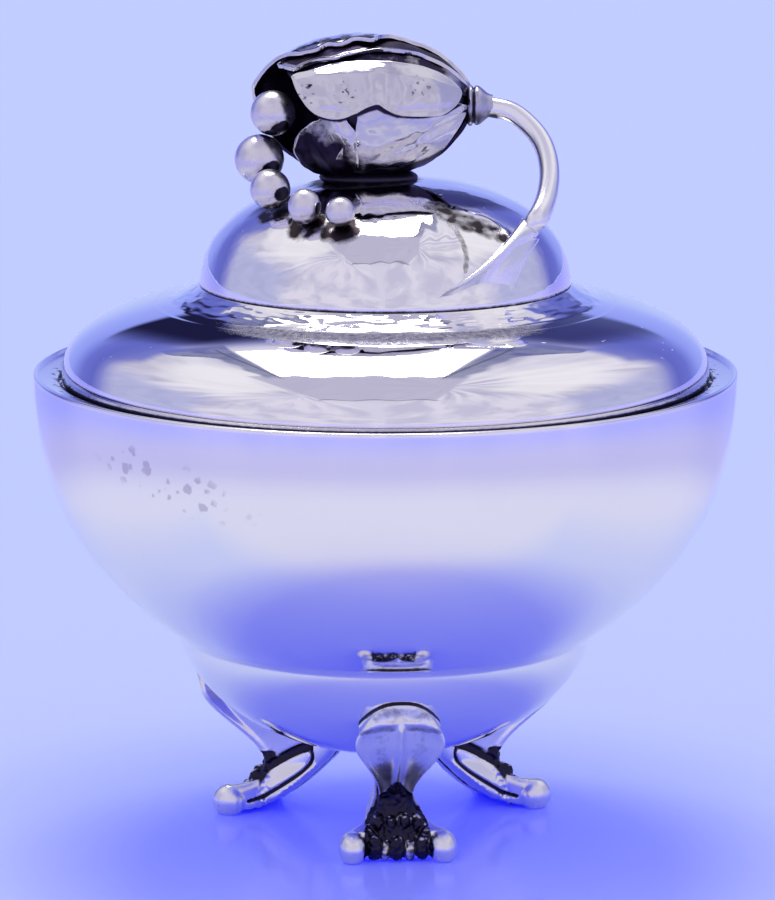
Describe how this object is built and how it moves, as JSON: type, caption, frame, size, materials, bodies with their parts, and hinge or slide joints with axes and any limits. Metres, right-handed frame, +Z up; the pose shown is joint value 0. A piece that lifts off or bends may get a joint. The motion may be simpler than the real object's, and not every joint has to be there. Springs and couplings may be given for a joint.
{
  "type": "covered sugar bowl",
  "caption": "Covered sugar bowl in polished silver with a turned-in lower bowl, cast feet, a double-domed lift-off lid, and a bud finial with beads and a looping stem.",
  "frame": {"origin": "on the bowl's axis, at the level that the feet stand on", "axes": "+Z up along the bowl's axis, -Y towards the front foot, +X towards the side where the finial's stem loops round"},
  "size_m": [0.096, 0.096, 0.1091],
  "materials": {
    "polished_silver": "polished silver with fine handling marks",
    "cast_silver": "cast and polished silver, darkened in the recesses",
    "petal_silver": "hand-worked silver sheet with a gentle ripple",
    "inner_silver": "silver left less polished where it is out of sight",
    "oxidised_silver": "silver darkened nearly black"
  },
  "bodies": {
    "bowl": {"bowl_body": "polished_silver", "lid_seat_ring": "inner_silver", "foot_front": "cast_silver", "foot_left": "cast_silver", "foot_right": "cast_silver"},
    "lid": {"lid_lower_dome": "polished_silver", "lid_upper_dome": "polished_silver", "lid_bezel": "inner_silver", "bud_core": "oxidised_silver", "front_upper_petal": "petal_silver", "lower_petal": "petal_silver", "top_petal": "petal_silver", "back_petal": "petal_silver", "under_petal": "petal_silver", "stem_collar": "cast_silver", "stem_loop": "cast_silver", "bead_1": "cast_silver", "bead_2": "cast_silver", "bead_3": "cast_silver", "bead_4": "cast_silver", "bead_5": "cast_silver"}
  },
  "joints": [
    {"name": "lid_lift", "type": "slide", "parent": "bowl", "child": "lid", "axis": [0, 0, 1], "range_m": [0, 0.1]}
  ]
}
